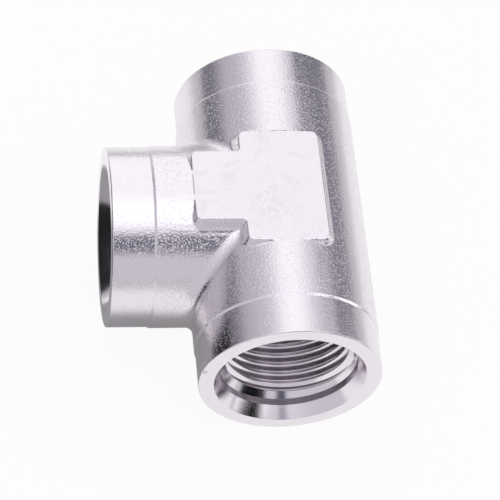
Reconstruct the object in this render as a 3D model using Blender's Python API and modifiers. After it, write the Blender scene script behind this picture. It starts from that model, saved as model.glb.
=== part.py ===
"""Female tee fitting: one nickel plated brass forging with three tapped ports.

The run lies along Y and the branch points along -X. A T shaped wrench pad is forged on the
top and on the bottom. The origin is on the lower pad, straight under the crossing of the
port axes, and +Z points up out of the upper pad. Lengths are in metres.
"""

import math

import bmesh
import bpy
from mathutils import Matrix, Vector

MM = 0.001

# Reach of the arms, from the crossing of the axes to each end face
RUN_REACH = 21.25 * MM
BRANCH_REACH = 21.5 * MM

# Female thread in every port: three eighths parallel pipe thread, pitch 1.337 mm
THREAD_MAJOR_RADIUS = 8.331 * MM
THREAD_HEIGHT = 0.856 * MM
TAPPED_DEPTH = 12.8 * MM
MOUTH_MARGIN = 0.99 * MM
COUNTERSINK_HALF_ANGLE = math.radians(30)

# Plain relief between the countersink and the first thread, and the cone that leads into it
RELIEF_MARGIN = 0.1 * MM
RELIEF_DEPTH = 2.45 * MM
LEAD_IN_HALF_ANGLE = math.radians(37)

# Passage behind the threads, and the cone that the drill leaves at a shoulder
PASSAGE_STEP = 0.725 * MM
DRILL_HALF_ANGLE = math.radians(59)

# Forged skin: the wall outside the thread's root, and the ball that rounds both crotches
WALL = 3.07 * MM
CROTCH_RADIUS = 2.0 * MM

# Turned collars: the skin is cut back by one step at each end
COLLAR_STEP = 0.15 * MM
COLLAR_LENGTH = 5.27 * MM
COLLAR_BEVEL = 0.14 * MM

# Wrench pads, as a T seen from above, with their centre moved a little towards the branch
PAD_BELOW_CREST = 0.125 * MM
PAD_RUN_WIDTH = 10.05 * MM
PAD_RUN_SHIFT = 0.275 * MM
PAD_RUN_HALF_LENGTH = 8.17 * MM
PAD_BRANCH_WIDTH = 10.22 * MM
PAD_BRANCH_REACH = 11.4 * MM
PAD_OUTER_CORNER = 0.5 * MM
PAD_INNER_CORNER = 0.6 * MM
PAD_LEAST_CORNER = 0.15 * MM
PAD_DRAFT = math.radians(24)
PAD_EDGE_BREAK = 0.1 * MM

# How finely round shapes are cut
ROUND_STEPS = 64
CROTCH_STEPS = 5
CORNER_STEPS = 3
SHARP_ANGLE = math.radians(28)

# Cutters run past the metal by this much, and a trimmed crest past its pad by a hair
OVERRUN = 1.0 * MM
TRIM_MARGIN = 0.05 * MM
MERGE = 0.005 * MM

# Sizes that follow from those above
THREAD_MINOR_RADIUS = THREAD_MAJOR_RADIUS - THREAD_HEIGHT
MOUTH_RADIUS = THREAD_MAJOR_RADIUS + MOUTH_MARGIN
RELIEF_RADIUS = THREAD_MAJOR_RADIUS + RELIEF_MARGIN
PASSAGE_RADIUS = THREAD_MINOR_RADIUS - PASSAGE_STEP
BODY_RADIUS = THREAD_MAJOR_RADIUS + WALL
COLLAR_RADIUS = BODY_RADIUS - COLLAR_STEP
PAD_HEIGHT = BODY_RADIUS - PAD_BELOW_CREST
CROSSING = Vector((0, 0, PAD_HEIGHT))

# Turns that lay a tool's own Z axis along an arm
ALONG_RUN = Matrix.Rotation(math.radians(-90), 4, "X")
ALONG_BRANCH = Matrix.Rotation(math.radians(-90), 4, "Y")
UPSIDE_DOWN = Matrix.Rotation(math.radians(180), 4, "X")

# A tool spun by half a facet crosses the skin's straight lines and never runs along one
HALF_FACET = Matrix.Rotation(math.pi / ROUND_STEPS, 4, "Z")

PLATE_COLOUR = (0.80, 0.765, 0.785, 1)


def clear_scene():
    for old in list(bpy.data.objects):
        bpy.data.objects.remove(old, do_unlink=True)


def new_collection(name):
    collection = bpy.data.collections.new(name)
    bpy.context.scene.collection.children.link(collection)
    return collection


def new_object(name, mesh, collection, turn=Matrix()):
    """An object whose own origin sits at the crossing of the axes."""
    thing = bpy.data.objects.new(name, mesh)
    thing.matrix_world = Matrix.Translation(CROSSING) @ turn
    collection.objects.link(thing)
    return thing


def nickel_plate():
    """Bright nickel over brass, dulled by tumbling."""
    material = bpy.data.materials.new("nickel_plate")
    material.use_nodes = True
    shader = material.node_tree.nodes["Principled BSDF"]
    shader.inputs["Base Color"].default_value = PLATE_COLOUR
    shader.inputs["Metallic"].default_value = 1.0
    shader.inputs["Roughness"].default_value = 0.32
    material.diffuse_color = PLATE_COLOUR
    return material


def skin_between(shape, rows):
    """Joins neighbouring rows of points with one face for each pair of steps."""
    placed = [[shape.verts.new(point) for point in row] for row in rows]
    for near, far in zip(placed, placed[1:]):
        for step in range(len(near) - 1):
            shape.faces.new((near[step], near[step + 1], far[step + 1], far[step]))


def crotch_row(angle, side):
    """One line of the skin at an angle up from the branch: run end, crotch, branch end.

    A ball that rolls down the crotch touches the run and the branch. The line follows both
    arms straight and goes from one to the other round the ball.
    """
    across = math.cos(angle)
    up = math.sin(angle)
    ball_path = BODY_RADIUS + CROTCH_RADIUS
    ball = Vector((-ball_path * across, side * ball_path * across, ball_path * up))
    on_run = Vector((-BODY_RADIUS * across, ball.y, BODY_RADIUS * up))
    on_branch = Vector((ball.x, side * BODY_RADIUS * across, BODY_RADIUS * up))
    towards_run = (on_run - ball).normalized()
    towards_branch = (on_branch - ball).normalized()
    row = [Vector((on_run.x, side * RUN_REACH, on_run.z))]
    for step in range(CROTCH_STEPS + 1):
        turned = towards_run.slerp(towards_branch, step / CROTCH_STEPS)
        row.append(ball + CROTCH_RADIUS * turned)
    row.append(Vector((-BRANCH_REACH, on_branch.y, on_branch.z)))
    return row


def back_row(angle):
    """One straight line along the side of the run that has no branch."""
    across = BODY_RADIUS * math.cos(angle)
    up = BODY_RADIUS * math.sin(angle)
    return [Vector((across, along, up)) for along in (-RUN_REACH, 0, RUN_REACH)]


def forged_blank(collection):
    """The three round arms as one skin, rounded where the branch leaves the run."""
    steps = ROUND_STEPS // 2
    angles = [math.pi * (step / steps - 0.5) for step in range(steps + 1)]
    shape = bmesh.new()
    for side in (-1, 1):
        skin_between(shape, [crotch_row(angle, side) for angle in angles])
    skin_between(shape, [back_row(angle) for angle in angles])
    bmesh.ops.remove_doubles(shape, verts=shape.verts, dist=MERGE)
    bmesh.ops.dissolve_degenerate(shape, edges=shape.edges, dist=MERGE)
    bmesh.ops.holes_fill(shape, edges=shape.edges)
    bmesh.ops.recalc_face_normals(shape, faces=shape.faces)
    mesh = bpy.data.meshes.new("tee_body")
    shape.to_mesh(mesh)
    shape.free()
    return new_object("tee_body", mesh, collection)


def pad_outline(spread):
    """The T seen from above, grown on all sides by spread, with rounded corners."""
    left = -PAD_RUN_WIDTH / 2 - PAD_RUN_SHIFT - spread
    right = PAD_RUN_WIDTH / 2 - PAD_RUN_SHIFT + spread
    end = PAD_RUN_HALF_LENGTH + spread
    tip = -PAD_BRANCH_REACH - spread
    neck = PAD_BRANCH_WIDTH / 2 + spread
    outer = PAD_OUTER_CORNER + spread
    inner = max(PAD_INNER_CORNER - spread, PAD_LEAST_CORNER)
    corners = [
        (right, -end, outer),
        (right, end, outer),
        (left, end, outer),
        (left, neck, inner),
        (tip, neck, outer),
        (tip, -neck, outer),
        (left, -neck, inner),
        (left, -end, outer),
    ]
    outline = []
    for index, (x, y, radius) in enumerate(corners):
        corner = Vector((x, y))
        back = (Vector(corners[index - 1][:2]) - corner).normalized()
        ahead = (Vector(corners[(index + 1) % len(corners)][:2]) - corner).normalized()
        centre = corner + radius * (back + ahead)
        for step in range(CORNER_STEPS + 1):
            turn = math.pi / 2 * step / CORNER_STEPS
            outline.append(centre - radius * (math.cos(turn) * ahead + math.sin(turn) * back))
    return outline


def pad_solid(name, levels, collection, turn):
    """A T shaped block through outlines given as (height above the axes, spread)."""
    shape = bmesh.new()
    rings = []
    for height, spread in levels:
        outline = pad_outline(spread)
        rings.append([shape.verts.new((point.x, point.y, height)) for point in outline])
    for low, high in zip(rings, rings[1:]):
        for index in range(len(low)):
            shape.faces.new((low[index - 1], low[index], high[index], high[index - 1]))
    shape.faces.new(reversed(rings[0]))
    shape.faces.new(rings[-1])
    mesh = bpy.data.meshes.new(name)
    shape.to_mesh(mesh)
    shape.free()
    return new_object(name, mesh, collection, turn)


def pad_block(name, collection, turn):
    """The raised T with drafted walls and a broken edge, rooted well inside the round body."""
    root_depth = OVERRUN + PAD_RUN_WIDTH**2 / 8 / BODY_RADIUS
    edge_spread = PAD_EDGE_BREAK * math.tan(PAD_DRAFT)
    levels = [
        (PAD_HEIGHT - root_depth, root_depth * math.tan(PAD_DRAFT)),
        (PAD_HEIGHT - PAD_EDGE_BREAK, edge_spread),
        (PAD_HEIGHT + PAD_BELOW_CREST, edge_spread - PAD_EDGE_BREAK - PAD_BELOW_CREST),
    ]
    return pad_solid(name, levels, collection, turn)


def pad_trim(name, collection, turn):
    """What the coining press takes off: block and crest above the pad's flat face."""
    levels = [(PAD_HEIGHT, TRIM_MARGIN), (PAD_HEIGHT + OVERRUN, TRIM_MARGIN)]
    return pad_solid(name, levels, collection, turn)


def turned_tool(name, profile, collection, turn, closed=False):
    """A solid turned about its own Z axis from (radius, height) points, top to bottom."""
    mesh = bpy.data.meshes.new(name)
    edges = [(index, index + 1) for index in range(len(profile) - 1)]
    if closed:
        edges.append((len(profile) - 1, 0))
    mesh.from_pydata([(radius, 0, height) for radius, height in profile], edges, [])
    tool = new_object(name, mesh, collection, turn)
    screw = tool.modifiers.new("turning", "SCREW")
    screw.axis = "Z"
    screw.steps = ROUND_STEPS
    screw.render_steps = ROUND_STEPS
    screw.use_merge_vertices = True
    screw.merge_threshold = MERGE
    return tool


def collar_ring(name, reach, collection, turn):
    """Takes the forged skin down to the collar and breaks the edge of the end face."""
    outside = BODY_RADIUS + OVERRUN
    beyond = reach + OVERRUN
    profile = [
        (outside, beyond),
        (outside, reach - COLLAR_LENGTH),
        (COLLAR_RADIUS, reach - COLLAR_LENGTH),
        (COLLAR_RADIUS, reach - COLLAR_BEVEL),
        (COLLAR_RADIUS - COLLAR_BEVEL - OVERRUN, beyond),
    ]
    return turned_tool(name, profile, collection, turn @ HALF_FACET, closed=True)


def port_profile(reach):
    """Countersink, relief, tapping bore and drill shoulder of one port, from outside inwards."""
    countersink_depth = (MOUTH_RADIUS - RELIEF_RADIUS) / math.tan(COUNTERSINK_HALF_ANGLE)
    lead_in_length = (RELIEF_RADIUS - THREAD_MINOR_RADIUS) / math.tan(LEAD_IN_HALF_ANGLE)
    shoulder_depth = PASSAGE_STEP / math.tan(DRILL_HALF_ANGLE)
    bottom = reach - TAPPED_DEPTH
    return [
        (0, reach + OVERRUN),
        (MOUTH_RADIUS + OVERRUN * math.tan(COUNTERSINK_HALF_ANGLE), reach + OVERRUN),
        (RELIEF_RADIUS, reach - countersink_depth),
        (RELIEF_RADIUS, reach - RELIEF_DEPTH),
        (THREAD_MINOR_RADIUS, reach - RELIEF_DEPTH - lead_in_length),
        (THREAD_MINOR_RADIUS, bottom),
        (PASSAGE_RADIUS, bottom - shoulder_depth),
    ]


def run_drill(collection):
    """Both ports of the run with the passage between them."""
    front_to_middle = port_profile(RUN_REACH)
    middle_to_back = [(radius, -height) for radius, height in reversed(front_to_middle)]
    return turned_tool("run_drill", front_to_middle + middle_to_back, collection, ALONG_RUN)


def branch_drill(collection):
    """The branch port, with a drill point that ends inside the run's passage."""
    point = [(PASSAGE_RADIUS, 0), (0, -PASSAGE_RADIUS / math.tan(DRILL_HALF_ANGLE))]
    profile = port_profile(BRANCH_REACH) + point
    return turned_tool("branch_drill", profile, collection, ALONG_BRANCH @ HALF_FACET)


def work(body, tool, operation):
    """Joins a block to the body or cuts it with a tool, and hides the tool."""
    tool.hide_render = True
    tool.display_type = "WIRE"
    step = body.modifiers.new(tool.name, "BOOLEAN")
    step.operation = operation
    step.solver = "EXACT"
    step.object = tool


def settle(body):
    """Applies the steps to the body, then shades it smooth between its real edges."""
    bpy.context.view_layer.update()
    evaluated = body.evaluated_get(bpy.context.evaluated_depsgraph_get())
    rough = body.data
    body.data = bpy.data.meshes.new_from_object(evaluated)
    body.modifiers.clear()
    bpy.data.meshes.remove(rough)
    body.data.name = body.name
    body.data.shade_smooth()
    body.data.set_sharp_from_angle(angle=SHARP_ANGLE)


def build_tee():
    clear_scene()
    parts = new_collection("female_tee_fitting")
    cutters = new_collection("cutters")
    body = forged_blank(parts)
    for side, turn in (("upper", Matrix()), ("lower", UPSIDE_DOWN)):
        work(body, pad_block(side + "_pad_block", cutters, turn), "UNION")
        work(body, pad_trim(side + "_pad_trim", cutters, turn), "DIFFERENCE")
    for name, reach, turn in (
        ("front_collar_ring", -RUN_REACH, ALONG_RUN),
        ("back_collar_ring", RUN_REACH, ALONG_RUN),
        ("branch_collar_ring", BRANCH_REACH, ALONG_BRANCH),
    ):
        flip = UPSIDE_DOWN if reach < 0 else Matrix()
        work(body, collar_ring(name, abs(reach), cutters, turn @ flip), "DIFFERENCE")
    work(body, run_drill(cutters), "DIFFERENCE")
    work(body, branch_drill(cutters), "DIFFERENCE")
    settle(body)
    body.data.materials.clear()
    body.data.materials.append(nickel_plate())


build_tee()
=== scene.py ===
# %% [markdown]
# # A female tee fitting in nickel plated brass
#
# The real fitting is one forging. A hot brass billet is pressed between two dies, which leaves
# three round arms with soft crotches between them and a T shaped wrench pad above and below.
# The ends are then turned, drilled, countersunk and tapped, and the whole part is tumbled and
# plated. The steps below follow that order: forge the skin, press the pads, turn the collars,
# drill, tap, and only then plate it with materials and light it.

import math

import bmesh
import bpy
from mathutils import Matrix, Vector


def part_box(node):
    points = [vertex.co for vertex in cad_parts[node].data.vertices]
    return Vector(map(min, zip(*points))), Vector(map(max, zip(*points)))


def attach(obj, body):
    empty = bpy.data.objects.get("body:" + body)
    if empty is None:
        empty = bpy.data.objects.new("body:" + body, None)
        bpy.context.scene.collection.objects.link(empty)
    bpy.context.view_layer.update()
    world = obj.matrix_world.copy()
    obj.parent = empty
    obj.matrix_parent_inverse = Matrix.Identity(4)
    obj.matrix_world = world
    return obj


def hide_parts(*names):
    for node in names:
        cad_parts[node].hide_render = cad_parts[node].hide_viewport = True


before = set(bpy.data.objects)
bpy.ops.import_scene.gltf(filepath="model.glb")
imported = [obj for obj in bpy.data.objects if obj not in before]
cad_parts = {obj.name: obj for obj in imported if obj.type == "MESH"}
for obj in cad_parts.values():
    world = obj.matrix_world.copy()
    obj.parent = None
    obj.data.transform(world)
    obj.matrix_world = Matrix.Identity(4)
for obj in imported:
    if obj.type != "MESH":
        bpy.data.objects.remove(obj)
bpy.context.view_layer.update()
print("frame nodes:", sorted(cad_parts))

# %% [markdown]
# ## Sizes
#
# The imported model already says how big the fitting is, so the reaches and the body's radius
# are read from its box. Its origin lies on the lower pad, so the height of the axes is also
# the distance from the axes to each pad. The finer sizes are real ones in millimetres.

# %% Sizes
MM = 0.001
low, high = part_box("tee_body")
RUN_REACH = high.y
BRANCH_REACH = -low.x
BODY_RADIUS = high.x
AXIS_HEIGHT = (low.z + high.z) / 2
PAD_HEIGHT = AXIS_HEIGHT
CROSSING = Vector((0, 0, AXIS_HEIGHT))

CROTCH_RADIUS = 2.0 * MM
COLLAR_LENGTH = 5.42 * MM
COLLAR_STEP = 0.15 * MM
COLLAR_RADIUS = BODY_RADIUS - COLLAR_STEP
RUN_SHOULDER = RUN_REACH - COLLAR_LENGTH
BRANCH_SHOULDER = BRANCH_REACH - COLLAR_LENGTH

SIDES = 96
JOIN = 0.002 * MM
for label, size in (("run", RUN_REACH), ("branch", BRANCH_REACH), ("body radius", BODY_RADIUS)):
    print(label, round(size / MM, 2), "mm")

# %% [markdown]
# ## Helpers for working in edit mode
#
# Every operator works on what is selected, so small helpers do the selecting. One makes an
# object the only one in hand, one picks its edges or faces by their place, and one cuts what
# is picked. By hand this would be a click, a box select and a Bisect.

# %% Selection helpers
CUT_TOLERANCE = 1e-7


def take_in_hand(thing, mode="EDIT"):
    """Makes thing the only selected object and enters the mode."""
    if bpy.context.object and bpy.context.object.mode != "OBJECT":
        bpy.ops.object.mode_set(mode="OBJECT")
    bpy.ops.object.select_all(action="DESELECT")
    thing.select_set(True)
    bpy.context.view_layer.objects.active = thing
    bpy.ops.object.mode_set(mode=mode)


def middle(element):
    """The middle of an edge or a face."""
    return sum((vertex.co for vertex in element.verts), Vector()) / len(element.verts)


def pick(kind, test):
    """Selects only the edges or faces for which the test of their middle and themselves holds."""
    bpy.ops.mesh.select_mode(type=kind)
    bpy.ops.mesh.select_all(action="DESELECT")
    mesh = bpy.context.object.data
    shape = bmesh.from_edit_mesh(mesh)
    for element in shape.edges if kind == "EDGE" else shape.faces:
        if test(middle(element), element):
            element.select_set(True)
    shape.select_flush_mode()
    bmesh.update_edit_mesh(mesh)


def cut(point, normal, **choices):
    """Cuts what is selected along a plane."""
    plane = Vector(normal).normalized()
    bpy.ops.mesh.bisect(plane_co=point, plane_no=plane, threshold=CUT_TOLERANCE, **choices)


# %% [markdown]
# ## Forging the skin
#
# The run is a plain tube and so is the branch. In the real die a ball ended cutter made the
# crotch, so a ball of constant radius touches both tubes all the way down. The curve where it
# touches the run lies in a plane through the upright axis of the tee, and the same is true on
# the branch. A Boolean union with a bevel would be quicker, but a bevel is hard to end well
# where the crotch runs out at the crest. So the two tubes are bisected along those planes, the
# wedge between them is deleted, and the edges are bridged.

# %% The run's tube, cut open for the branch
TOUCH_SLOPE = (BODY_RADIUS + CROTCH_RADIUS) / BODY_RADIUS


def tube(name, length, centre, turn):
    """An open tube with the body's radius."""
    bpy.ops.object.select_all(action="DESELECT")
    bpy.ops.mesh.primitive_cylinder_add(
        vertices=SIDES,
        radius=BODY_RADIUS,
        depth=length,
        end_fill_type="NOTHING",
        location=centre,
        rotation=turn,
    )
    thing = bpy.context.object
    thing.name = name
    thing.data.name = name
    bpy.ops.object.transform_apply(location=True, rotation=True, scale=True)
    return thing


fitting = tube("tee_fitting", 2 * RUN_SHOULDER, CROSSING, (math.pi / 2, 0, 0))
take_in_hand(fitting)
for side in (-1, 1):
    pick("FACE", lambda place, face: place.x < 0)
    cut(CROSSING, (side * TOUCH_SLOPE, 1, 0))
pick("FACE", lambda place, face: place.x < 0 and abs(place.y) < -TOUCH_SLOPE * place.x - JOIN)
bpy.ops.mesh.delete(type="FACE")
bpy.ops.object.mode_set(mode="OBJECT")
print("run tube:", len(fitting.data.polygons), "faces")

# %% The branch's tube, mitred to match
OVERLAP = 1 * MM
branch_length = BRANCH_SHOULDER + OVERLAP
branch_centre = CROSSING + Vector(((OVERLAP - BRANCH_SHOULDER) / 2, 0, 0))
branch = tube("branch_tube", branch_length, branch_centre, (0, math.pi / 2, 0))
take_in_hand(branch)
for side in (-1, 1):
    pick("FACE", lambda place, face: place.y * side > 0)
    cut(CROSSING, (1, side * TOUCH_SLOPE, 0))
pick("FACE", lambda place, face: place.x > JOIN - TOUCH_SLOPE * abs(place.y))
bpy.ops.mesh.delete(type="FACE")
bpy.ops.object.mode_set(mode="OBJECT")
print("branch tube:", len(branch.data.polygons), "faces")

# %% [markdown]
# ## Bridging the crotches
#
# Two open edges now face each other on each side of the branch. Bridge Edge Loops joins them,
# and its Surface interpolation makes the new faces leave each tube along the tube's own
# surface, as a rolling ball does. Straight faces between the edges would show two creases.

# %% Bridge the two crotches
BLEND_CUTS = 7
BLEND_SMOOTHNESS = 0.6

bpy.ops.object.select_all(action="DESELECT")
branch.select_set(True)
fitting.select_set(True)
bpy.context.view_layer.objects.active = fitting
bpy.ops.object.join()
take_in_hand(fitting)


def on_open_crotch(place, edge, side):
    """Whether an edge is an open one at the crotch on this side, and not at an arm's end."""
    inside = abs(place.y) < RUN_SHOULDER - JOIN and place.x > JOIN - BRANCH_SHOULDER
    return edge.is_boundary and inside and place.y * side > JOIN


for side in (-1, 1):
    pick("EDGE", lambda place, edge: on_open_crotch(place, edge, side))
    bpy.ops.mesh.bridge_edge_loops(
        type="SINGLE",
        use_merge=False,
        number_cuts=BLEND_CUTS,
        interpolation="SURFACE",
        smoothness=BLEND_SMOOTHNESS,
    )
bpy.ops.mesh.select_all(action="SELECT")
bpy.ops.mesh.remove_doubles(threshold=JOIN)
bpy.ops.mesh.dissolve_degenerate(threshold=JOIN)
bpy.ops.mesh.normals_make_consistent(inside=False)
bpy.ops.object.mode_set(mode="OBJECT")
print("forged skin:", len(fitting.data.polygons), "faces")

# %% [markdown]
# ## Marking out the wrench pads
#
# Each pad is a T that stands proud of the round arms, with drafted walls so that the die lets
# go, a softened upper edge and a small fillet at the foot. Raising it with a Boolean would
# leave a hard seam that is awkward to round where the pad fades into the crest. So the plan is
# marked out instead: bisecting the top and the bottom skin along lines at set distances from
# the T's edge gives rows of points exactly where the wall's section needs them. First a cut
# right round each arm, just past the pads, keeps the slivers of this marking away from the
# rims that the collars are drawn from.

# %% The T's sizes
PAD_RIGHT = 4.75 * MM
PAD_LEFT = 5.3 * MM
PAD_NECK = 5.11 * MM
PAD_END = 8.17 * MM
PAD_TIP = 11.4 * MM
WALL_SPREAD = 1.3 * MM
CORNER_REACH = 0.95 * MM
INNER_ROWS = (-0.9, -0.68, -0.5, -0.32, -0.2, -0.12, -0.06)
OUTER_ROWS = (0, 0.06, 0.13, 0.21, 0.3, 0.39, 0.48, 0.57, 0.67, 0.8, 1.0, 1.3)
EDGE_OFFSETS = [row * MM for row in INNER_ROWS + OUTER_ROWS]
PAD_SKIN = 9.2 * MM
PAST_THE_WALL = 0.3 * MM
PAD_CLEAR = PAD_END + WALL_SPREAD + PAST_THE_WALL
BRANCH_CLEAR = PAD_TIP + WALL_SPREAD + PAST_THE_WALL
SLIVER = 0.012 * MM
print("rows across each wall:", len(EDGE_OFFSETS))

# %% Mark out the rows
def above_axes(place):
    """Distance above or below the plane of the axes."""
    return abs(place.z - AXIS_HEIGHT)


def mark(point, normal, x_span, y_span):
    """Marks a line across the top and bottom faces that reach into a part of the plan."""
    def reaches(place, face):
        xs = [vertex.co.x for vertex in face.verts]
        ys = [vertex.co.y for vertex in face.verts]
        in_x = min(xs) < x_span[1] and max(xs) > x_span[0]
        in_y = min(ys) < y_span[1] and max(ys) > y_span[0]
        return above_axes(place) > PAD_SKIN and in_x and in_y

    pick("FACE", reaches)
    cut(point, normal)


take_in_hand(fitting)
for point, normal in (
    ((0, PAD_CLEAR, 0), (0, 1, 0)),
    ((0, -PAD_CLEAR, 0), (0, 1, 0)),
    ((-BRANCH_CLEAR, 0, 0), (1, 0, 0)),
):
    bpy.ops.mesh.select_all(action="SELECT")
    cut(point, normal)
right_zone = (PAD_RIGHT - CORNER_REACH, PAD_RIGHT + WALL_SPREAD)
left_zone = (-PAD_LEFT - WALL_SPREAD, -PAD_LEFT + CORNER_REACH)
tip_zone = (-PAD_TIP - WALL_SPREAD, -PAD_TIP + CORNER_REACH)
bar_x = (-PAD_LEFT - WALL_SPREAD, PAD_RIGHT + WALL_SPREAD)
bar_y = (-PAD_END - WALL_SPREAD, PAD_END + WALL_SPREAD)
stem_x = (-PAD_TIP - WALL_SPREAD, -PAD_LEFT + CORNER_REACH)
stem_y = (-PAD_NECK - WALL_SPREAD, PAD_NECK + WALL_SPREAD)
for offset in reversed(EDGE_OFFSETS):
    mark((PAD_RIGHT + offset, 0, 0), (1, 0, 0), right_zone, bar_y)
    mark((-PAD_TIP - offset, 0, 0), (1, 0, 0), tip_zone, stem_y)
    for side in (-1, 1):
        end_zone = sorted((side * (PAD_END - CORNER_REACH), side * (PAD_END + WALL_SPREAD)))
        neck_zone = sorted((side * (PAD_NECK - CORNER_REACH), side * (PAD_NECK + WALL_SPREAD)))
        shoulder_zone = sorted((side * (PAD_NECK - CORNER_REACH), side * (PAD_END + WALL_SPREAD)))
        mark((0, side * (PAD_END + offset), 0), (0, 1, 0), bar_x, end_zone)
        mark((0, side * (PAD_NECK + offset), 0), (0, 1, 0), stem_x, neck_zone)
        mark((-PAD_LEFT - offset, 0, 0), (1, 0, 0), left_zone, shoulder_zone)
bpy.ops.mesh.select_all(action="SELECT")
bpy.ops.mesh.remove_doubles(threshold=SLIVER)
bpy.ops.object.mode_set(mode="OBJECT")
print("marked out:", len(fitting.data.polygons), "faces")

# %% [markdown]
# ## Pressing the wrench pads
#
# The die moves straight up and down, so a point keeps its place in the plan and only its
# height changes. How far it lies outside the T gives the wall's height there, and the higher
# of wall and skin stays. Taking the higher of the two softly rounds the foot, as a fillet
# does. A bevel would need one clean loop of edges all round the T, and there is none, because
# the wall dies away where the arm's own crest is as high as the pad.

# %% How far outside the T
OUTER_CORNER = 0.9 * MM
INNER_CORNER = 0.5 * MM


def outside_box(x, y, left, right, half_width, corner):
    """How far a place lies outside a rounded rectangle, or inside it as a negative number."""
    across = abs(x - (left + right) / 2) - (right - left) / 2 + corner
    along = abs(y) - half_width + corner
    return math.hypot(max(across, 0), max(along, 0)) + min(max(across, along), 0) - corner


def outside_pad(x, y):
    """How far a place lies outside the T, with its inner corners rounded."""
    bar = outside_box(x, y, -PAD_LEFT, PAD_RIGHT, PAD_END, OUTER_CORNER)
    stem = outside_box(x, y, -PAD_TIP, 0, PAD_NECK, OUTER_CORNER)
    near_both = math.hypot(max(INNER_CORNER - bar, 0), max(INNER_CORNER - stem, 0))
    return max(INNER_CORNER, min(bar, stem)) - near_both


print("middle of the T lies", round(-outside_pad(0, 0) / MM, 2), "mm inside its edge")

# %% Lift the rows to the wall's section
PAD_DRAFT = math.radians(24)
EDGE_ROUNDING = 0.3 * MM
FOOT_ROUNDING = 0.28 * MM
FOOT_FADE = 0.7 * MM
CREST_SLOPE = 1.8
CREST_ROUNDING = 0.08 * MM


def soft_max(one, other, rounding):
    """The larger of two heights, with the corner between them rounded off."""
    if rounding <= 0:
        return max(one, other)
    closeness = max(rounding - abs(one - other), 0) / rounding
    return max(one, other) + closeness * closeness * rounding / 4


def pressed_height(place):
    """Height above the axes of the pressed skin over a point of the round skin."""
    skin = above_axes(place)
    outside = outside_pad(place.x, place.y)
    wall = PAD_HEIGHT - soft_max(0, outside / math.tan(PAD_DRAFT), EDGE_ROUNDING)
    ceiling = PAD_HEIGHT + soft_max(0, CREST_SLOPE * outside, CREST_ROUNDING)
    share = min(max((PAD_HEIGHT - skin) / FOOT_FADE, 0), 1)
    return min(soft_max(skin, wall, FOOT_ROUNDING * share), ceiling)


lifted = 0
for vertex in fitting.data.vertices:
    place = vertex.co
    if above_axes(place) > PAD_SKIN - WALL_SPREAD and outside_pad(place.x, place.y) < WALL_SPREAD:
        side = math.copysign(1, place.z - AXIS_HEIGHT)
        vertex.co.z = AXIS_HEIGHT + side * pressed_height(place)
        lifted += 1
take_in_hand(fitting)
bpy.ops.mesh.select_all(action="SELECT")
bpy.ops.mesh.dissolve_degenerate(threshold=JOIN)
bpy.ops.object.mode_set(mode="OBJECT")
print("lifted", lifted, "points")

# %% [markdown]
# ## Turning the collars
#
# On the lathe each end is cut back to a true cylinder. The tool leaves a short sloped step in
# the forged skin, which catches the light as a fine line, and a small round at the rim. The
# open end of the tube is drawn out loop by loop: extrude the rim, move it along the arm and
# scale it to its next radius, the way a vase is drawn from its rim. The same helper later
# draws the drills. A separate turned collar would need a join that could show.

# %% Draw the collars out of the rims
STEP_SLOPE = 0.3 * MM
RIM_ROUND = 0.18 * MM
RIM_STEPS = 5

ARMS = {
    "front": (Vector((0, -1, 0)), RUN_REACH),
    "back": (Vector((0, 1, 0)), RUN_REACH),
    "branch": (Vector((-1, 0, 0)), BRANCH_REACH),
}


def draw_out(outwards, stations, radius):
    """Draws the selected rim through (radius, distance along the arm) stations."""
    rim = bmesh.from_edit_mesh(bpy.context.object.data)
    first = next(vertex for vertex in rim.verts if vertex.select)
    reached = (first.co - CROSSING).dot(outwards)
    for next_radius, next_reach in stations:
        step = outwards * (next_reach - reached)
        bpy.ops.mesh.extrude_region_move(TRANSFORM_OT_translate={"value": step})
        ratio = next_radius / radius
        scale = [1 if abs(part) > 0.5 else ratio for part in outwards]
        bpy.ops.transform.resize(value=scale, center_override=CROSSING + outwards * next_reach)
        radius = next_radius
        reached = next_reach


def collar_stations(reach):
    """The turned outline from the forged skin to the end face."""
    stations = [(COLLAR_RADIUS, reach - COLLAR_LENGTH + STEP_SLOPE)]
    for step in range(RIM_STEPS + 1):
        turn = math.pi / 2 * step / RIM_STEPS
        radius = COLLAR_RADIUS - RIM_ROUND * (1 - math.cos(turn))
        stations.append((radius, reach - RIM_ROUND * (1 - math.sin(turn))))
    return stations


def on_rim(place, edge, outwards, reach):
    """Whether an edge belongs to the open end of an arm."""
    return edge.is_boundary and (place - CROSSING).dot(outwards) > reach - COLLAR_LENGTH - JOIN


take_in_hand(fitting)
for outwards, reach in ARMS.values():
    pick("EDGE", lambda place, edge: on_rim(place, edge, outwards, reach))
    draw_out(outwards, collar_stations(reach), BODY_RADIUS)
    bpy.ops.mesh.edge_face_add()
bpy.ops.mesh.select_all(action="SELECT")
bpy.ops.mesh.normals_make_consistent(inside=False)
bpy.ops.object.mode_set(mode="OBJECT")
print("with collars:", len(fitting.data.polygons), "faces")

# %% [markdown]
# ## Drilling and countersinking
#
# One tool goes right through the run and another comes in from the branch. Each is drawn
# like the collars, from a circle, and closed at its ends. Subtracting it leaves the sixty
# degree countersink, the plain relief, the cone that leads into the thread, the tapping bore
# and the passage. A Boolean is the right way here, because a drill too takes away whatever it
# meets. The branch's drill is turned by half a facet, so that its edges miss the run's.

# %% The port's outline
THREAD_MAJOR = 8.331 * MM
BORE = 7.5 * MM
PASSAGE = 6.75 * MM
MOUTH = 9.32 * MM
RELIEF = 8.43 * MM
RELIEF_DEPTH = 2.45 * MM
BORE_DEPTH = 12.8 * MM
COUNTERSINK_SLOPE = math.tan(math.radians(30))
LEAD_IN_SLOPE = math.tan(math.radians(37))
DRILL_SLOPE = math.tan(math.radians(59))
LIP = 0.06 * MM
CLEAR = 1.0 * MM


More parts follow.
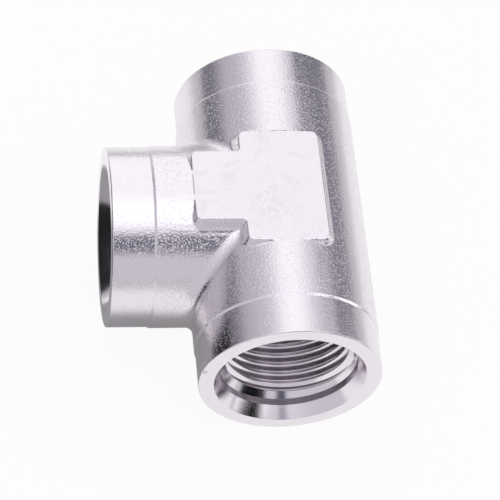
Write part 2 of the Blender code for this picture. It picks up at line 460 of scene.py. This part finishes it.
def port_stations(reach):
    """(radius, distance from the crossing) down a port, from outside the face to the passage."""
    return [
        (MOUTH + LIP + CLEAR, reach + CLEAR),
        (MOUTH + LIP, reach),
        (MOUTH, reach - LIP),
        (RELIEF, reach - (MOUTH - RELIEF) / COUNTERSINK_SLOPE),
        (RELIEF, reach - RELIEF_DEPTH),
        (BORE, reach - RELIEF_DEPTH - (RELIEF - BORE) / LEAD_IN_SLOPE),
        (BORE, reach - BORE_DEPTH),
        (PASSAGE, reach - BORE_DEPTH - (BORE - PASSAGE) / DRILL_SLOPE),
    ]


countersink_depth = (MOUTH - RELIEF) / COUNTERSINK_SLOPE
print("countersink", round(countersink_depth / MM, 2), "mm deep")
print("plain relief ends", round(RELIEF_DEPTH / MM, 2), "mm deep")

# %% Drill the ports
DRILL_TIP = 0.05 * MM


def turned_tool(name, outwards, stations, spin=0.0):
    """A closed solid through the stations, round the arm that points outwards."""
    bpy.ops.object.select_all(action="DESELECT")
    first_radius, first_reach = stations[0]
    bpy.ops.mesh.primitive_circle_add(
        vertices=SIDES,
        radius=first_radius,
        location=CROSSING + outwards * first_reach,
        rotation=outwards.to_track_quat("Z", "Y").to_euler(),
    )
    tool = bpy.context.object
    tool.name = name
    bpy.ops.object.transform_apply(location=True, rotation=True, scale=True)
    take_in_hand(tool)
    bpy.ops.mesh.select_all(action="SELECT")
    if spin:
        shape = bmesh.from_edit_mesh(tool.data)
        turn = Matrix.Rotation(spin, 4, outwards)
        bmesh.ops.rotate(shape, cent=CROSSING, matrix=turn, verts=shape.verts)
        bmesh.update_edit_mesh(tool.data)
    draw_out(outwards, stations[1:], first_radius)
    bpy.ops.mesh.edge_face_add()
    pick("EDGE", lambda place, edge: edge.is_boundary)
    bpy.ops.mesh.edge_face_add()
    bpy.ops.mesh.select_all(action="SELECT")
    bpy.ops.mesh.normals_make_consistent(inside=False)
    bpy.ops.object.mode_set(mode="OBJECT")
    return tool


def subtract(tool):
    """Cuts the tool's solid out of the fitting and puts the tool away."""
    take_in_hand(fitting, "OBJECT")
    step = fitting.modifiers.new(tool.name, "BOOLEAN")
    step.operation = "DIFFERENCE"
    step.solver = "EXACT"
    step.object = tool
    bpy.ops.object.modifier_apply(modifier=step.name)
    print("after the", tool.name, "cut:", len(fitting.data.polygons), "faces")
    bpy.data.objects.remove(tool, do_unlink=True)


port = port_stations(RUN_REACH)
through = port + [(radius, -reach) for radius, reach in reversed(port)]
subtract(turned_tool("run_drill", ARMS["back"][0], through))
inwards = port_stations(BRANCH_REACH) + [(PASSAGE, 0), (DRILL_TIP, -PASSAGE / DRILL_SLOPE)]
subtract(turned_tool("branch_drill", ARMS["branch"][0], inwards, math.pi / SIDES))

# %% [markdown]
# ## Tapping the threads
#
# A tap is a screw with the thread's own section, so one is made here. The section of a single
# turn, with its rounded crest and root, is drawn point by point and swept up a helix by the
# Screw modifier, with the pitch as the rise of a turn. Each turn starts where the last one
# ended, so merging the doubles leaves one continuous skin, and two bisects cut it to length.
# Rings instead of a helix would be simpler, but a thread that doesn't climb is easily seen.

# %% The thread's section
PITCH = 1.337 * MM
THREAD_MINOR = 7.475 * MM
THREAD_ROUND = 0.1373 * PITCH
FLANK_ANGLE = math.radians(27.5)
ARC_STEPS = 5


def thread_section():
    """One turn of the tap's outline as (radius, height), from one valley to the next."""
    sweep = math.pi / 2 - FLANK_ANGLE
    turns = [sweep * (2 * step / ARC_STEPS - 1) for step in range(ARC_STEPS + 1)]
    sides = [(THREAD_ROUND * (1 - math.cos(turn)), THREAD_ROUND * math.sin(turn)) for turn in turns]
    valley = [(THREAD_MINOR + inset, height) for inset, height in sides]
    crest = [(THREAD_MAJOR - inset, PITCH / 2 + height) for inset, height in sides]
    half = ARC_STEPS // 2 + 1
    before_end = [(radius, height + PITCH) for radius, height in valley[:half]]
    return [(THREAD_MINOR, 0.0)] + valley[half:] + crest + before_end + [(THREAD_MINOR, PITCH)]


section = thread_section()
print("thread section:", len(section), "points")

# %% A tap, made with the Screw modifier
TAP_DEPTH = 11.7 * MM
TAP_START = 13.264 * MM
TURN_JOIN = 0.0005 * MM


def sweep_section(name):
    """Draws the section from a point and sweeps it up the helix, longer than the tap."""
    bpy.ops.object.select_all(action="DESELECT")
    bpy.ops.mesh.primitive_plane_add(size=1 * MM)
    tap = bpy.context.object
    tap.name = name
    take_in_hand(tap)
    bpy.ops.mesh.select_mode(type="VERT")
    bpy.ops.mesh.select_all(action="SELECT")
    bpy.ops.mesh.merge(type="CENTER")
    bpy.ops.transform.translate(value=(section[0][0], 0, section[0][1]))
    for (radius, height), (next_radius, next_height) in zip(section, section[1:]):
        step = (next_radius - radius, 0, next_height - height)
        bpy.ops.mesh.extrude_region_move(TRANSFORM_OT_translate={"value": step})
    bpy.ops.object.mode_set(mode="OBJECT")
    screw = tap.modifiers.new("helix", "SCREW")
    screw.axis = "Z"
    screw.steps = SIDES
    screw.render_steps = SIDES
    screw.screw_offset = PITCH
    screw.iterations = math.ceil((TAP_DEPTH + CLEAR) / PITCH) + 2
    screw.use_merge_vertices = False
    bpy.ops.object.modifier_apply(modifier=screw.name)
    return tap


def make_tap(name, outwards, reach, facets):
    """A tap of the thread's full section, from outside the port to the tapped depth."""
    tap = sweep_section(name)
    take_in_hand(tap)
    bpy.ops.mesh.select_all(action="SELECT")
    bpy.ops.mesh.remove_doubles(threshold=TURN_JOIN)
    cut((0, 0, TAP_START - TAP_DEPTH), (0, 0, -1), use_fill=True, clear_outer=True)
    bpy.ops.mesh.select_all(action="SELECT")
    cut((0, 0, TAP_START + CLEAR), (0, 0, 1), use_fill=True, clear_outer=True)
    bpy.ops.mesh.select_all(action="SELECT")
    bpy.ops.mesh.normals_make_consistent(inside=False)
    bpy.ops.object.mode_set(mode="OBJECT")
    lowered = Matrix.Translation((0, 0, reach - TAP_START))
    turned = Matrix.Rotation(math.tau * facets / SIDES, 4, "Z")
    aimed = outwards.to_track_quat("Z", "Y").to_matrix().to_4x4()
    tap.data.transform(Matrix.Translation(CROSSING) @ aimed @ turned @ lowered)
    return tap


# %% [markdown]
# ## Cutting the three threads
#
# No two ports of a real fitting start their threads at the same angle, so each tap is turned
# to a start of its own. Where a start isn't a whole number of facets, the tap's points miss
# the bore's, which keeps the Boolean clean. The taps are joined first, so that one cut does
# for all three.

# %% Cut every port
THREAD_START = {"front": 0, "back": 31.37, "branch": 64.37}

taps = [
    make_tap(name + "_tap", outwards, reach, THREAD_START[name])
    for name, (outwards, reach) in ARMS.items()
]
take_in_hand(taps[0], "OBJECT")
for tap in taps:
    tap.select_set(True)
bpy.ops.object.join()
subtract(taps[0])

# %% [markdown]
# ## One closed skin
#
# Booleans leave points that lie almost on each other, so they are merged. Faces that meet
# gently are shaded smooth, and the sharp corners of the lathe work stay sharp. Weighted
# normals let the large faces lead, which keeps the reflections on the long arms calm beside
# the many narrow faces round the pads. Counting the edges without two faces shows that the
# skin is closed.

# %% Merge, shade and count
LAST_JOIN = 0.001 * MM
SMOOTH_ANGLE = math.radians(26)

take_in_hand(fitting)
bpy.ops.mesh.select_all(action="SELECT")
bpy.ops.mesh.remove_doubles(threshold=LAST_JOIN)
bpy.ops.object.mode_set(mode="OBJECT")
bpy.ops.object.shade_smooth_by_angle(angle=SMOOTH_ANGLE)
even = fitting.modifiers.new("even_normals", "WEIGHTED_NORMAL")
even.keep_sharp = True
bpy.ops.object.modifier_apply(modifier=even.name)

skin = bmesh.new()
skin.from_mesh(fitting.data)
open_edges = sum(1 for edge in skin.edges if len(edge.link_faces) != 2)
triangles = sum(len(face.verts) - 2 for face in skin.faces)
volume = skin.calc_volume() / MM**3
skin.free()
print("fitting:", triangles, "triangles,", open_edges, "open edges, volume", round(volume, 1))

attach(fitting, "root")
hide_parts("tee_body")

# %% [markdown]
# ## Nickel plate
#
# One plating covers the whole fitting, so all its finishes share a colour and are fully
# metallic. What differs is the surface under it: forged skin keeps the fine grain of the
# tumbling barrel, the wrench pads were coined flat and dull, and the collars, faces and bores
# carry the fine rings of the lathe. Grain, rings and marks are node groups, built once and
# placed in each material that shows them. They work in object coordinates, so they stay in
# place from every side. Image textures could do it too, but they would need seams and files.

# %% Helpers for node trees
def new_group(name, inputs, outputs):
    """A node group with named sockets, and its input and output nodes."""
    group = bpy.data.node_groups.new(name, "ShaderNodeTree")
    for label, kind in inputs:
        group.interface.new_socket(label, in_out="INPUT", socket_type=kind)
    for label, kind in outputs:
        group.interface.new_socket(label, in_out="OUTPUT", socket_type=kind)
    return group, group.nodes.new("NodeGroupInput"), group.nodes.new("NodeGroupOutput")


def add(tree, kind, **settings):
    """Adds a node. Settings are node properties, or input values where the name is an input."""
    node = tree.nodes.new(kind)
    for name, value in settings.items():
        if hasattr(node, name):
            setattr(node, name, value)
        else:
            node.inputs[name.replace("_", " ")].default_value = value
    return node


def maths(tree, operation, *values):
    """Adds a Math node with numbers or sockets for its inputs and gives its result."""
    node = tree.nodes.new("ShaderNodeMath")
    node.operation = operation
    for index, value in enumerate(values):
        if isinstance(value, (int, float)):
            node.inputs[index].default_value = value
        else:
            tree.links.new(value, node.inputs[index])
    return node.outputs[0]


def smooth_step(tree, value, start, end):
    """Runs smoothly from 0 at start to 1 at end."""
    node = tree.nodes.new("ShaderNodeMapRange")
    node.interpolation_type = "SMOOTHSTEP"
    tree.links.new(value, node.inputs["Value"])
    node.inputs["From Min"].default_value = start
    node.inputs["From Max"].default_value = end
    return node.outputs["Result"]


def mixed(tree, share, under, over):
    """Mixes a colour or a colour socket with a fixed colour over it."""
    mix = add(tree, "ShaderNodeMix", data_type="RGBA")
    tree.links.new(share, mix.inputs[0])
    if isinstance(under, tuple):
        mix.inputs[6].default_value = under
    else:
        tree.links.new(under, mix.inputs[6])
    mix.inputs[7].default_value = over
    return mix.outputs[2]


# %% [markdown]
# ## Tumbled grain
#
# Tumbling with small stones leaves dimples a few tenths of a millimetre wide. Most have
# gentle slopes, so highlights stay smooth, and a few are steep, so that dark bands sparkle.
# One noise gives both: its highest spots, the flecks, are raised once more. A second noise,
# six times as coarse, adds a slow unevenness. Real dents in the mesh would take millions of
# faces, so this relief is bump.

# %% Build the grain
SLOW_SHARE = 0.16
FLECK_SPAN = (0.56, 0.72)
FLECK_WEIGHT = 0.3
FINE_WEIGHT = 0.42
SLOW_WEIGHT = 0.2


def build_grain():
    """Fine dimples all over, with a slower unevenness under them."""
    group, given, result = new_group(
        "tumbled_grain",
        [("Vector", "NodeSocketVector"), ("Grain per m", "NodeSocketFloat")],
        [("Height", "NodeSocketFloat"), ("Fleck", "NodeSocketFloat")],
    )
    where = given.outputs["Vector"]
    size = given.outputs["Grain per m"]
    fine = add(group, "ShaderNodeTexNoise", Detail=1.5, Roughness=0.6)
    slow = add(group, "ShaderNodeTexNoise", Detail=1.5, Roughness=0.5)
    for noise, scale in ((fine, size), (slow, maths(group, "MULTIPLY", size, SLOW_SHARE))):
        group.links.new(where, noise.inputs["Vector"])
        group.links.new(scale, noise.inputs["Scale"])
    fleck = smooth_step(group, fine.outputs["Fac"], *FLECK_SPAN)
    swell = maths(group, "MULTIPLY", slow.outputs["Fac"], SLOW_WEIGHT)
    gentle = maths(group, "MULTIPLY", fine.outputs["Fac"], FINE_WEIGHT)
    dimples = maths(group, "MULTIPLY_ADD", fleck, FLECK_WEIGHT, gentle)
    group.links.new(maths(group, "ADD", dimples, swell), result.inputs["Height"])
    group.links.new(fleck, result.inputs["Fleck"])
    return group


grain = build_grain()
print("built group", grain.name, "with", len(grain.nodes), "nodes")

# %% [markdown]
# ## Rings of the lathe
#
# A lathe tool leaves rings round the axis of the arm it works on. The distance from that axis
# changes across the faces and cones, and the distance along it changes on the collars, so
# their sum changes everywhere on the turned ends. A noise in one dimension, read along that
# sum, gives rings that are never quite alike. A wave would repeat itself.

# %% Build the rings
BRANCH_RINGS_FROM = BODY_RADIUS + 2 * MM


def build_rings():
    """Fine rings round the run's ends and round the branch's end, on rims and on faces."""
    group, given, result = new_group(
        "lathe_rings",
        [("Vector", "NodeSocketVector"), ("Rings per m", "NodeSocketFloat")],
        [("Height", "NodeSocketFloat")],
    )
    parts = add(group, "ShaderNodeSeparateXYZ")
    group.links.new(given.outputs["Vector"], parts.inputs[0])
    x, y, z = parts.outputs
    up = maths(group, "SUBTRACT", z, AXIS_HEIGHT)
    up_squared = maths(group, "MULTIPLY", up, up)
    x_squared = maths(group, "MULTIPLY", x, x)
    y_squared = maths(group, "MULTIPLY", y, y)
    run_radius = maths(group, "SQRT", maths(group, "ADD", x_squared, up_squared))
    branch_radius = maths(group, "SQRT", maths(group, "ADD", y_squared, up_squared))
    place = add(group, "ShaderNodeMix", data_type="FLOAT")
    group.links.new(maths(group, "LESS_THAN", x, -BRANCH_RINGS_FROM), place.inputs["Factor"])
    group.links.new(maths(group, "ADD", maths(group, "ABSOLUTE", y), run_radius), place.inputs["A"])
    group.links.new(maths(group, "SUBTRACT", branch_radius, x), place.inputs["B"])
    ripple = add(group, "ShaderNodeTexNoise", noise_dimensions="1D", Detail=2.0, Roughness=0.6, Scale=1.0)
    count = maths(group, "MULTIPLY", place.outputs["Result"], given.outputs["Rings per m"])
    group.links.new(count, ripple.inputs["W"])
    group.links.new(ripple.outputs["Fac"], result.inputs["Height"])
    return group


rings = build_rings()
print("built group", rings.name, "with", len(rings.nodes), "nodes")

# %% [markdown]
# ## Smudges of handling
#
# A used fitting isn't spotless. The pads have faint cloudy marks, the upper one is rubbed
# near its middle, and the front face has one small nick at the left. Clouds come from noise
# alone, and a mark with a place of its own is a soft spot round a point. Marks placed one by
# one read as wear, where noise all over would read as dirt.

# %% Build the smudges and the nick
RUBBED_PLACE = CROSSING + Vector((-2.0 * MM, -2.4 * MM, PAD_HEIGHT))
RUBBED_SPAN = (4.6 * MM, 1.0 * MM)
RUBBED_WEIGHT = 1.35
NICK_PLACE = CROSSING + Vector((-10.7 * MM, -RUN_REACH, 2.25 * MM))
NICK_SPAN = (0.36 * MM, 0.1 * MM)
CLOUD_SPAN = (0.5, 0.72)
STREAK_SPAN = (0.42, 0.64)


def build_smudges():
    """Faint cloudy marks, one rubbed place on the upper pad and one nick in the front face."""
    group, given, result = new_group(
        "handling_smudges",
        [("Vector", "NodeSocketVector")],
        [("Cloud", "NodeSocketFloat"), ("Nick", "NodeSocketFloat")],
    )
    where = given.outputs["Vector"]

    def nearness(place, span):
        """1 near a place and 0 away from it."""
        apart = add(group, "ShaderNodeVectorMath", operation="DISTANCE")
        group.links.new(where, apart.inputs[0])
        apart.inputs[1].default_value = place
        return smooth_step(group, apart.outputs["Value"], *span)

    cloud = add(group, "ShaderNodeTexNoise", Scale=380.0, Detail=3.0, Roughness=0.6, Distortion=0.8)
    rub = add(group, "ShaderNodeTexNoise", Scale=1500.0, Detail=3.0, Roughness=0.65)
    group.links.new(where, cloud.inputs["Vector"])
    group.links.new(where, rub.inputs["Vector"])
    streaks = maths(group, "MULTIPLY", smooth_step(group, rub.outputs["Fac"], *STREAK_SPAN), RUBBED_WEIGHT)
    rubbed = maths(group, "MULTIPLY", streaks, nearness(RUBBED_PLACE, RUBBED_SPAN))
    faint = smooth_step(group, cloud.outputs["Fac"], *CLOUD_SPAN)
    group.links.new(maths(group, "MAXIMUM", faint, rubbed), result.inputs["Cloud"])
    group.links.new(nearness(NICK_PLACE, NICK_SPAN), result.inputs["Nick"])
    return group


smudges = build_smudges()
print("built group", smudges.name, "with", len(smudges.nodes), "nodes")

# %% [markdown]
# ## The five finishes
#
# Each finish is the same plate with its own values. The forging is grainy, the coined pads
# are dull and smudged, the turned collars have a softer grain over fine rings, and the bores
# and most of each end face are nearly bright. The countersink is a finish of its own, because
# its rings are deeper and smear the one dark reflection it shows. Every finish with rings can
# show the nick. A base colour that is the same all over is set on the shader's own socket, and
# only the smudged one comes through a Mix.

# %% Make the finishes
PLATE = (0.86, 0.815, 0.855, 1)
SMUDGED = (0.74, 0.69, 0.735, 1)
FLECK_SHINE = 0.08
NICK_DEPTH = 0.3 * MM


def plate_finish(name, roughness, grain_depth, grain_size, ring_depth=0, ring_size=0, smudge=0):
    """Nickel plate over forged or turned brass. Depths are in mm, sizes in marks per metre."""
    material = bpy.data.materials.new(name)
    material.use_nodes = True
    tree = material.node_tree
    shader = tree.nodes["Principled BSDF"]
    shader.inputs["Metallic"].default_value = 1.0
    shader.inputs["Base Color"].default_value = PLATE
    where = add(tree, "ShaderNodeTexCoord").outputs["Object"]

    def effect(group):
        """Places a node group in the material."""
        node = add(tree, "ShaderNodeGroup", node_tree=group)
        tree.links.new(where, node.inputs["Vector"])
        return node

    if smudge:
        share = maths(tree, "MULTIPLY", effect(smudges).outputs["Cloud"], smudge)
        tree.links.new(mixed(tree, share, PLATE, SMUDGED), shader.inputs["Base Color"])

    dimples = effect(grain)
    dimples.inputs["Grain per m"].default_value = grain_size
    dull = maths(tree, "MULTIPLY_ADD", dimples.outputs["Fleck"], -FLECK_SHINE, roughness)
    tree.links.new(dull, shader.inputs["Roughness"])
    height = maths(tree, "MULTIPLY", dimples.outputs["Height"], grain_depth * MM)
    if ring_depth:
        turned = effect(rings)
        turned.inputs["Rings per m"].default_value = ring_size
        height = maths(tree, "MULTIPLY_ADD", turned.outputs["Height"], ring_depth * MM, height)
        height = maths(tree, "MULTIPLY_ADD", effect(smudges).outputs["Nick"], -NICK_DEPTH, height)
    bump = add(tree, "ShaderNodeBump", Strength=1.0, Distance=1.0)
    tree.links.new(height, bump.inputs["Height"])
    tree.links.new(bump.outputs["Normal"], shader.inputs["Normal"])
    return material


finishes = [
    plate_finish("forged_nickel", 0.17, 0.052, 4400.0),
    plate_finish("coined_nickel", 0.3, 0.018, 5000.0, smudge=0.45),
    plate_finish("turned_nickel", 0.17, 0.034, 4800.0, ring_depth=0.002, ring_size=5000.0),
    plate_finish("bored_nickel", 0.16, 0.0004, 3000.0, ring_depth=0.001, ring_size=9000.0),
    plate_finish("countersunk_nickel", 0.16, 0.0004, 3000.0, ring_depth=0.005, ring_size=9000.0),
]
fitting.data.materials.clear()
for finish in finishes:
    fitting.data.materials.append(finish)
print("finishes:", [finish.name for finish in finishes])

# %% [markdown]
# ## Sorting the faces
#
# The fitting is one mesh, so each face takes its finish from where its middle lies. By hand
# one would select the faces and press Assign, but a rule by place still holds when a size
# changes. Most of the wide faces at the ends have their middle inside the mouth, so they take
# the bore's bright finish, which suits a faced end.

# %% Sort the faces by finish
FORGED, COINED, TURNED, BORED, COUNTERSUNK = range(5)
FLAT_WITHIN = 0.02 * MM
LEVEL_FROM = 0.99


def finish_of(face):
    """Which finish a face has, from where it lies."""
    place = face.center - CROSSING
    along = max(abs(place.y) - RUN_SHOULDER, -place.x - BRANCH_SHOULDER)
    run_radius = math.hypot(place.x, place.z)
    branch_radius = math.hypot(place.y, place.z)
    radius = branch_radius if place.x < -BODY_RADIUS else run_radius
    inside_run = run_radius < MOUTH + 2 * LIP
    inside_branch = place.x < 0 and branch_radius < MOUTH + 2 * LIP
    if along > -JOIN and radius < MOUTH + LIP / 2:
        return COUNTERSUNK if radius > RELIEF + LIP else BORED
    if along > -JOIN:
        return TURNED
    if abs(abs(place.z) - PAD_HEIGHT) < FLAT_WITHIN and abs(face.normal.z) > LEVEL_FROM:
        return COINED
    return BORED if inside_run or inside_branch else FORGED


for face in fitting.data.polygons:
    face.material_index = finish_of(face)
for index, finish in enumerate(finishes):
    print(finish.name, sum(1 for face in fitting.data.polygons if face.material_index == index), "faces")

# %% [markdown]
# ## The floor
#
# The floor is white paper. The lower half of each arm mirrors it, so how it looks to mirrored
# rays matters as much as how it looks to the camera, and Light Path tells the two apart. The
# camera sees paper that is nearly white and still takes the fitting's shadow. Mirrored rays
# see it glow a little darker, with painted light that fades with distance and a painted shadow
# in the nook under and beside the branch. More light on the floor would whiten it too, but it
# would also burn out the metal.

# %% White floor
CAMERA_SHARE = 0.93
MIRROR_SHARE = 0.8
# FAR_SPAN and FAR_FADE set painted light on the mirrored floor, fading with distance from the fitting.
FAR_SPAN = (48 * MM, 105 * MM)
FAR_FADE = 0.45
# NOOK_SHADE and the nook spans set a painted shadow on the mirrored floor, under and beside the branch.
NOOK_SHADE = 0.72
NOOK_X = (-6 * MM, -12 * MM)
NOOK_FRONT = (-24 * MM, -14 * MM)
NOOK_BACK = (14 * MM, 8 * MM)


def build_paper():
    """Paper that is white to the camera, with a painted falloff and a painted nook shadow in reflections.
    """
    material = bpy.data.materials.new("white_paper")
    material.use_nodes = True
    tree = material.node_tree
    sheet = tree.nodes["Principled BSDF"]
    sheet.inputs["Base Color"].default_value = (0.93, 0.93, 0.935, 1)
    sheet.inputs["Roughness"].default_value = 0.9
    sheet.inputs["Specular IOR Level"].default_value = 0.1

    where = add(tree, "ShaderNodeTexCoord").outputs["Object"]
    spot = add(tree, "ShaderNodeSeparateXYZ")
    distance = add(tree, "ShaderNodeVectorMath", operation="LENGTH")
    tree.links.new(where, spot.inputs[0])
    tree.links.new(where, distance.inputs[0])
    # Painted light in mirrored rays: the floor is brightest near the fitting and dims with distance.
    far = smooth_step(tree, distance.outputs["Value"], *FAR_SPAN)
    # Painted shadow in mirrored rays: the nook under and beside the branch is darker.
    front = smooth_step(tree, spot.outputs["Y"], *NOOK_FRONT)
    back = smooth_step(tree, spot.outputs["Y"], *NOOK_BACK)
    nook_y = maths(tree, "MULTIPLY", front, back)
    painted_nook_shadow = maths(tree, "MULTIPLY", smooth_step(tree, spot.outputs["X"], *NOOK_X), nook_y)
    painted_falloff = maths(tree, "MULTIPLY_ADD", far, -FAR_FADE, 1.0)
    shaded = maths(tree, "MULTIPLY_ADD", painted_nook_shadow, -NOOK_SHADE, 1.0)
    # Both painted marks together set how bright the floor glows in reflections.
    painted_mirror_light = maths(tree, "MULTIPLY", painted_falloff, shaded)

    rays = add(tree, "ShaderNodeLightPath")
    seen = rays.outputs["Is Camera Ray"]
    mirrored = maths(tree, "MAXIMUM", rays.outputs["Is Glossy Ray"], rays.outputs["Is Transmission Ray"])
    white = add(tree, "ShaderNodeEmission", Color=(1, 1, 1, 1))
    tree.links.new(maths(tree, "MAXIMUM", seen, painted_mirror_light), white.inputs["Strength"])
    to_camera = maths(tree, "MULTIPLY", seen, CAMERA_SHARE)
    to_metal = maths(tree, "MULTIPLY", mirrored, MIRROR_SHARE)
    blend = add(tree, "ShaderNodeMixShader")
    tree.links.new(maths(tree, "MAXIMUM", to_camera, to_metal), blend.inputs["Fac"])
    tree.links.new(sheet.outputs[0], blend.inputs[1])
    tree.links.new(white.outputs[0], blend.inputs[2])
    tree.links.new(blend.outputs[0], tree.nodes["Material Output"].inputs["Surface"])
    return material


bpy.ops.object.select_all(action="DESELECT")
bpy.ops.mesh.primitive_plane_add(size=2.0, location=(0, 0, low.z))
floor = bpy.context.object
floor.name = "floor"
bpy.ops.object.transform_apply(location=True, rotation=True, scale=True)
floor.data.materials.append(build_paper())
print("floor at", round(low.z / MM, 3), "mm")

# %% [markdown]
# ## A black flag
#
# Photographers hang black cloth, a flag, beside shiny things. This one shows only in
# reflections, and it gives the open end of the branch its dark inside edge. Painting that
# edge dark would look wrong from every other side.

# %% Hang the flag
FLAG_PLACE = (-40 * MM, 4.75 * MM, 12.3 * MM)
FLAG_HEIGHT = 21.5 * MM
FLAG_WIDTH = 42.5 * MM

bpy.ops.mesh.primitive_plane_add(size=1.0, location=FLAG_PLACE, rotation=(0, math.pi / 2, 0))
flag = bpy.context.object
flag.name = "black_flag"
flag.scale = (FLAG_HEIGHT, FLAG_WIDTH, 1)
bpy.ops.object.transform_apply(location=True, rotation=True, scale=True)
felt = bpy.data.materials.new("black_felt")
felt.use_nodes = True
cloth = felt.node_tree.nodes["Principled BSDF"]
cloth.inputs["Base Color"].default_value = (0.006, 0.006, 0.007, 1)
cloth.inputs["Roughness"].default_value = 1.0
flag.data.materials.append(felt)
flag.visible_camera = False
flag.visible_diffuse = False
flag.visible_shadow = False
print("flag", round(FLAG_WIDTH / MM, 1), "mm wide, hung at x", round(FLAG_PLACE[0] / MM, 1), "mm")

# %% [markdown]
# ## A studio painted by direction
#
# Bright metal shows nothing but its surroundings, so the studio is what gives this fitting its
# look. Area lamps would each need a place, a size and a strength. Instead the world is painted
# by direction, which is all that matters to things far away. First a color ramp over the
# elevation gives a grey room under a bright ceiling, all of it soft light at a plain level.

# %% Room and ceiling
SKY_STEPS = [
    (-90, 0.95),
    (-4, 0.95),
    (0, 0.64),
    (32, 0.64),
    (48, 0.68),
    (58, 0.78),
    (65, 0.98),
    (74, 1.35),
    (90, 1.45),
]
SKY_TINT = (0.985, 0.985, 1.06)
LEAST_LEVEL = 1e-6

world = bpy.data.worlds.new("studio")
bpy.context.scene.world = world
world.use_nodes = True
sky = world.node_tree
look = add(sky, "ShaderNodeTexCoord").outputs["Generated"]
aim = add(sky, "ShaderNodeSeparateXYZ")
sky.links.new(look, aim.inputs[0])
aim_x, aim_y, aim_z = aim.outputs
elevation = maths(sky, "MULTIPLY", maths(sky, "ARCSINE", aim_z), 180 / math.pi)
level_squared = maths(sky, "SUBTRACT", 1.0, maths(sky, "MULTIPLY", aim_z, aim_z))
level = maths(sky, "SQRT", maths(sky, "MAXIMUM", level_squared, LEAST_LEVEL))

ramp = add(sky, "ShaderNodeValToRGB")
sky.links.new(maths(sky, "MULTIPLY_ADD", elevation, 1 / 180, 0.5), ramp.inputs["Fac"])
bands = ramp.color_ramp.elements
for step, (angle, tone) in enumerate(SKY_STEPS):
    mark_at = angle / 180 + 0.5
    band = bands[step] if step < 2 else bands.new(mark_at)
    band.position = mark_at
    band.color = (*(tone * part for part in SKY_TINT), 1)
painted = ramp.outputs["Color"]
print("sky bands:", len(bands))

# %% [markdown]
# ## Walls, stands and windows
#
# Every dark or bright band on the arms is something standing in the studio, seen in a curved
# mirror. So each band is traced back to the direction it comes from, and a soft edged panel is
# laid there. Soft edges make soft bands. A later panel lies over the earlier ones.

# %% Lay the panels
PANELS = [
    ("lit wall behind", 85, 28, 26, 58, 15, (1.12, 1.11, 1.13)),
    ("dim right wall", 37.5, 2, 22.5, 27, 3, (0.46, 0.43, 0.47)),
    ("lit window on the right", -4, 28, 14, 24, 4, (1.4, 1.37, 1.41)),
    ("upper part of that window", -24, 52, 20, 8, 3, (1.3, 1.27, 1.31)),
    ("dark stand on the right", 40, 7, 9, 20, 2, (0.22, 0.22, 0.26)),
    ("taller stand beside it", 53, 9, 9, 27, 2, (0.03, 0.03, 0.06)),
    ("dim wall behind left", 150, 10, 34, 34, 14, (0.5, 0.49, 0.54)),
    ("dark stand behind left", 145, 5, 13, 16, 8, (0.17, 0.17, 0.2)),
    ("dark ceiling over the camera", -79, 47, 9, 11.5, 4, (0.06, 0.06, 0.1)),
    ("dark room at front right", -35, 22, 17, 17, 2, (0.0, 0.0, 0.0)),
    ("card at front right", -65, 26, 8, 7, 2, (1.0, 0.98, 1.0)),
]


def panel(under, azimuth, height, half_width, half_height, soft, colour):
    """Lays a soft edged panel over the studio. Angles are in degrees, azimuth from +X to +Y."""
    turn = math.radians(azimuth)
    along_x = maths(sky, "MULTIPLY", aim_x, math.cos(turn))
    along_y = maths(sky, "MULTIPLY", aim_y, math.sin(turn))
    toward = maths(sky, "DIVIDE", maths(sky, "ADD", along_x, along_y), level)
    apart = maths(sky, "ARCCOSINE", maths(sky, "MINIMUM", toward, 1.0))
    sideways = maths(sky, "MULTIPLY", apart, 180 / math.pi)
    upways = maths(sky, "ABSOLUTE", maths(sky, "SUBTRACT", elevation, height))
    in_width = smooth_step(sky, sideways, half_width + soft, half_width - soft)
    in_height = smooth_step(sky, upways, half_height + soft, half_height - soft)
    return mixed(sky, maths(sky, "MULTIPLY", in_width, in_height), under, (*colour, 1))


for name, *shape in PANELS:
    painted = panel(painted, *shape)
    print("laid panel:", name)

# %% [markdown]
# ## What the camera sees past the floor
#
# The camera sees the world as plain white, like the floor. The metal sees the painted studio,
# because white on every side would leave it without the dark bands that show its shape.

# %% Join the sky to the world
background = sky.nodes["Background"]
sky.links.new(painted, background.inputs["Color"])
plain = add(sky, "ShaderNodeBackground", Color=(1, 1, 1, 1), Strength=1.0)
rays = add(sky, "ShaderNodeLightPath")
choose = add(sky, "ShaderNodeMixShader")
sky.links.new(rays.outputs["Is Camera Ray"], choose.inputs["Fac"])
sky.links.new(background.outputs[0], choose.inputs[1])
sky.links.new(plain.outputs[0], choose.inputs[2])
sky.links.new(choose.outputs[0], sky.nodes["World Output"].inputs["Surface"])
bpy.context.scene.view_settings.view_transform = "Standard"
print("sky nodes:", len(sky.nodes))

# %% [markdown]
# ## Camera
#
# The view is that of a long lens, looking down at the front port from a little to its left.
# A camera in Blender looks straight down until it is turned, so three turns aim it:
# a roll about its own view, a tilt up from the ground, and a turn about the upright axis.

# %% Set up the camera
CAMERA_FROM_CROSSING = Vector((-47.565, -172.362, 251.982)) * MM
LENS = 176.242
SENSOR_WIDTH = 36
VIEW_TURN = math.radians(-14.5644)
VIEW_TILT = math.radians(34.9279)
VIEW_ROLL = math.radians(11.6506)

camera_data = bpy.data.cameras.new("camera")
camera_data.sensor_width = SENSOR_WIDTH
camera_data.lens = LENS
camera_data.clip_start = 0.01
camera_data.clip_end = 10
camera = bpy.data.objects.new("camera", camera_data)
bpy.context.scene.collection.objects.link(camera)
rolled = Matrix.Rotation(VIEW_ROLL, 4, "Z")
tilted = Matrix.Rotation(VIEW_TILT, 4, "X")
turned = Matrix.Rotation(VIEW_TURN, 4, "Z")
camera.matrix_world = Matrix.Translation(CROSSING + CAMERA_FROM_CROSSING) @ turned @ tilted @ rolled
bpy.context.scene.camera = camera
print("camera", round(CAMERA_FROM_CROSSING.length / MM), "mm from the crossing")
